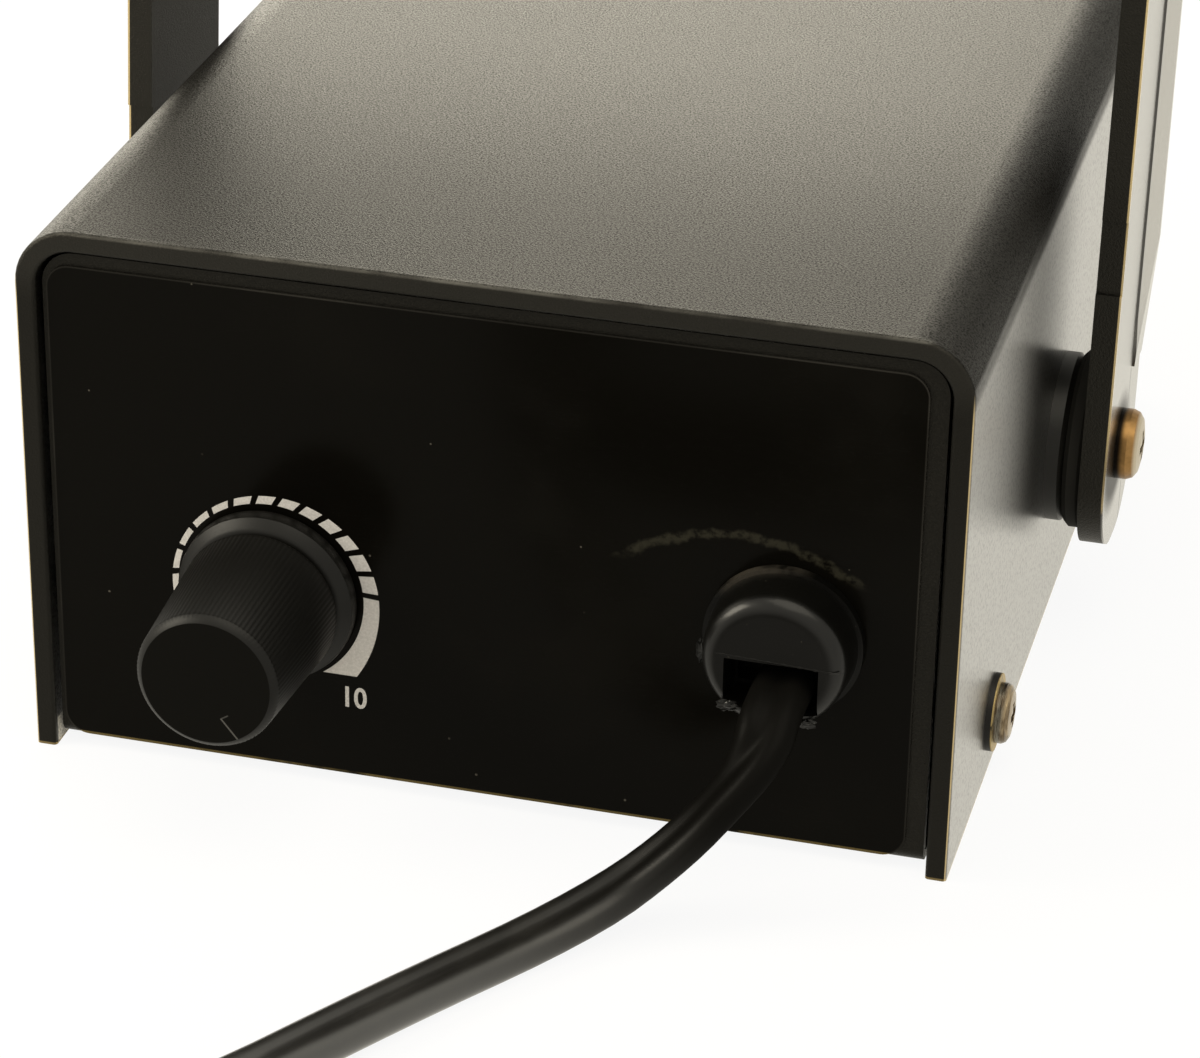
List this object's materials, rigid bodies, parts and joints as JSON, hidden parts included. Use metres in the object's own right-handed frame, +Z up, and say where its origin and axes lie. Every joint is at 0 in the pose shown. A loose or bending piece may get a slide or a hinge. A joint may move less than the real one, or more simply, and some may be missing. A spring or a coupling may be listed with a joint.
{
  "type": "xenon stroboscope",
  "caption": "Small mains xenon stroboscope: folded box housing with a lens in front, a speed knob and a mains cord at the back, and a U bracket that tilts on side pivots.",
  "frame": {"origin": "middle of the housing's footprint from the front rim to the knob's face, on the plane it stands on", "axes": "+Z up, -Y the way the light shines, +Y towards the control panel, +X to the right as seen from the front"},
  "size_m": [0.1663, 0.3089, 0.1447],
  "materials": {
    "bezel_screws": "zinc",
    "board_screws": "zinc",
    "board_standoffs": "white nylon",
    "bracket": "fine matt black moulding",
    "chassis": "satin black",
    "circuit_board": "brown laminate",
    "control_label": "gloss black film with pale print",
    "cord_coil": "satin black sheath",
    "cord_tail": "black sheath",
    "cover": "fine sand-textured black",
    "cover_screw_washers": "dull zinc",
    "cover_screws": "dull zinc",
    "electrode_caps": "nickel",
    "friction_washers": "black rubber",
    "front_bezel": "fine matt black",
    "fuse_caps": "nickel",
    "fuse_clips": "tinned brass",
    "fuse_glass": "clear",
    "lamp_leads": "pale insulation",
    "lens": "clear, ribbed inside",
    "mains_cord": "satin black sheath",
    "mains_leads": "brown insulation",
    "pivot_nuts": "zinc",
    "pivot_screws": "bronzed steel",
    "pivot_spacers": "matt black",
    "pivot_washers": "zinc",
    "plug_body": "moulded black",
    "plug_pins": "nickel-plated brass",
    "pot_nut": "zinc",
    "pot_washer": "zinc",
    "potentiometer": "pressed steel case",
    "power_resistor": "white ceramic",
    "rectifier_diodes": "black epoxy",
    "reflector": "bright aluminised",
    "speed_knob": "satin black with a pale line",
    "speed_leads": "blue insulation",
    "speed_shaft": "turned",
    "storage_capacitors": "dark blue sleeve",
    "strain_relief": "satin black nylon",
    "thyristor": "black epoxy on a tinned tab",
    "timing_resistors": "buff lacquer",
    "transformer_bobbin": "black nylon",
    "transformer_winding": "varnished winding",
    "trigger_capacitor": "dark red dipped",
    "trigger_lead": "red insulation",
    "trigger_wire": "tinned wire",
    "tube_grommets": "pale silicone",
    "xenon_tube": "clear"
  },
  "bodies": {
    "housing": {"bezel_screws": "bezel_screws", "board_screws": "board_screws", "board_standoffs": "board_standoffs", "chassis": "chassis", "circuit_board": "circuit_board", "control_label": "control_label", "cord_coil": "cord_coil", "cord_tail": "cord_tail", "cover": "cover", "cover_screw_washers": "cover_screw_washers", "cover_screws": "cover_screws", "electrode_caps": "electrode_caps", "friction_washers": "friction_washers", "front_bezel": "front_bezel", "fuse_caps": "fuse_caps", "fuse_clips": "fuse_clips", "fuse_glass": "fuse_glass", "lamp_leads": "lamp_leads", "lens": "lens", "mains_cord": "mains_cord", "mains_leads": "mains_leads", "pivot_nuts": "pivot_nuts", "pivot_screws": "pivot_screws", "pivot_spacers": "pivot_spacers", "pivot_washers": "pivot_washers", "plug_body": "plug_body", "plug_pins": "plug_pins", "pot_nut": "pot_nut", "pot_washer": "pot_washer", "potentiometer": "potentiometer", "power_resistor": "power_resistor", "rectifier_diodes": "rectifier_diodes", "reflector": "reflector", "speed_leads": "speed_leads", "storage_capacitors": "storage_capacitors", "strain_relief": "strain_relief", "thyristor": "thyristor", "timing_resistors": "timing_resistors", "transformer_bobbin": "transformer_bobbin", "transformer_winding": "transformer_winding", "trigger_capacitor": "trigger_capacitor", "trigger_lead": "trigger_lead", "trigger_wire": "trigger_wire", "tube_grommets": "tube_grommets", "xenon_tube": "xenon_tube"},
    "bracket": {"bracket": "bracket"},
    "knob": {"speed_knob": "speed_knob", "speed_shaft": "speed_shaft"}
  },
  "joints": [
    {"name": "bracket_tilt", "type": "hinge", "parent": "housing", "child": "bracket", "pos_m": [0, -0.01123, 0.026], "axis": [1, 0, 0], "range_deg": [-95.1, 84.9]},
    {"name": "knob_turn", "type": "hinge", "parent": "housing", "child": "knob", "pos_m": [0.0267, 0.05878, 0.0257], "axis": [0, 1, 0], "range_deg": [0, 300]}
  ]
}
